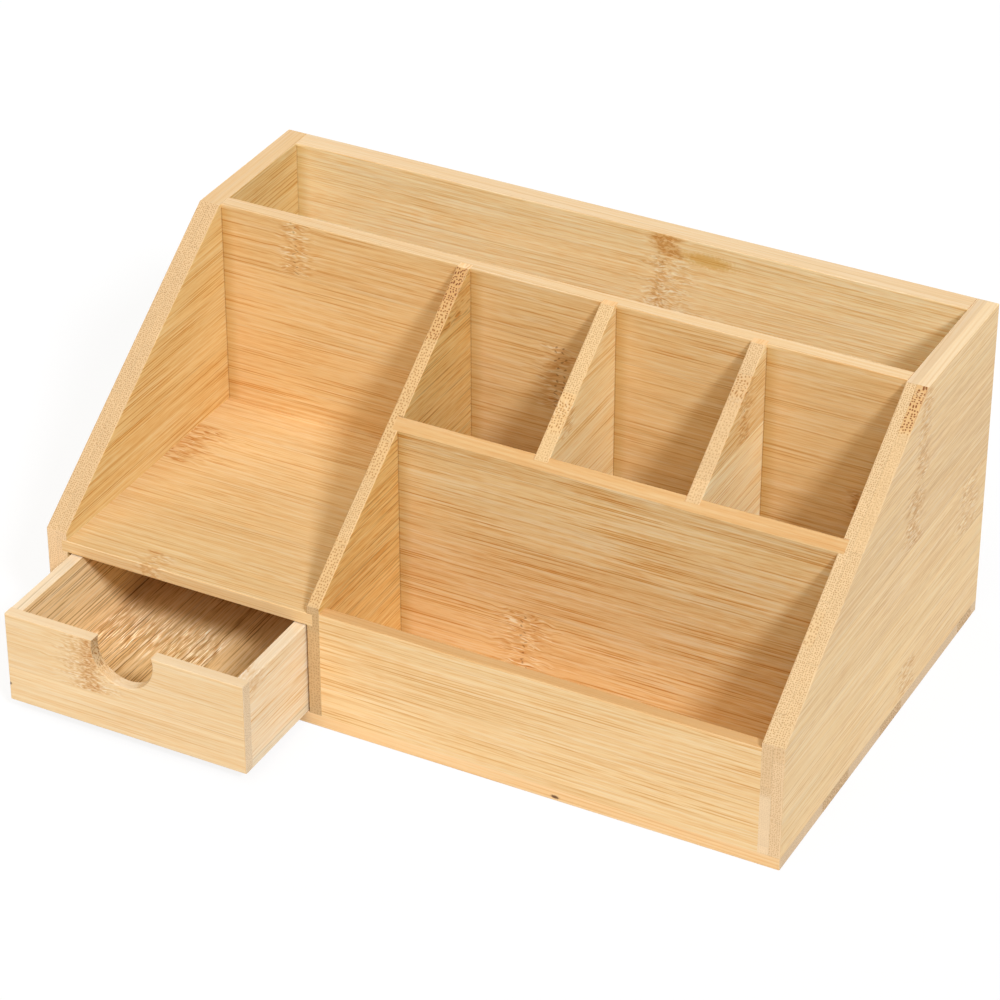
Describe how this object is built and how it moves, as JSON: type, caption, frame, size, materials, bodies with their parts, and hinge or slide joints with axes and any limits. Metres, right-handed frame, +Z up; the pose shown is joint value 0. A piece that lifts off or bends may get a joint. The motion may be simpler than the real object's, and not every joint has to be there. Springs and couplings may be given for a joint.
{
  "type": "desk organizer with drawer",
  "caption": "Open-topped bamboo desk organizer with sloping sides, rear slot, open tray, small upright compartments, wide front bay and a pull-out drawer with a round finger notch.",
  "frame": {"origin": "centre of the case's underside, on the surface it stands on", "axes": "+X to the right as seen from the front, +Y towards the back, +Z up"},
  "size_m": [0.3006, 0.2276, 0.1353],
  "materials": {
    "bamboo_thick_board": "satin lacquered laminated bamboo",
    "bamboo_thin_board": "satin lacquered bamboo strip board",
    "bamboo_drawer_board": "satin lacquered bamboo strip board"
  },
  "bodies": {
    "case": {"base_board": "bamboo_thin_board", "left_side_panel": "bamboo_thick_board", "right_side_panel": "bamboo_thick_board", "back_panel": "bamboo_thick_board", "slot_panel": "bamboo_thin_board", "centre_partition": "bamboo_thin_board", "drawer_shelf": "bamboo_thin_board", "cross_divider": "bamboo_thin_board", "slot_divider_left": "bamboo_thin_board", "slot_divider_right": "bamboo_thin_board", "front_rail": "bamboo_thin_board"},
    "drawer": {"drawer_front": "bamboo_drawer_board", "drawer_left_side": "bamboo_drawer_board", "drawer_right_side": "bamboo_drawer_board", "drawer_back": "bamboo_drawer_board", "drawer_bottom": "bamboo_drawer_board"}
  },
  "joints": [
    {"name": "drawer_slide", "type": "slide", "parent": "case", "child": "drawer", "axis": [0, -1, 0], "range_m": [-0.0442, 0.0553]}
  ]
}
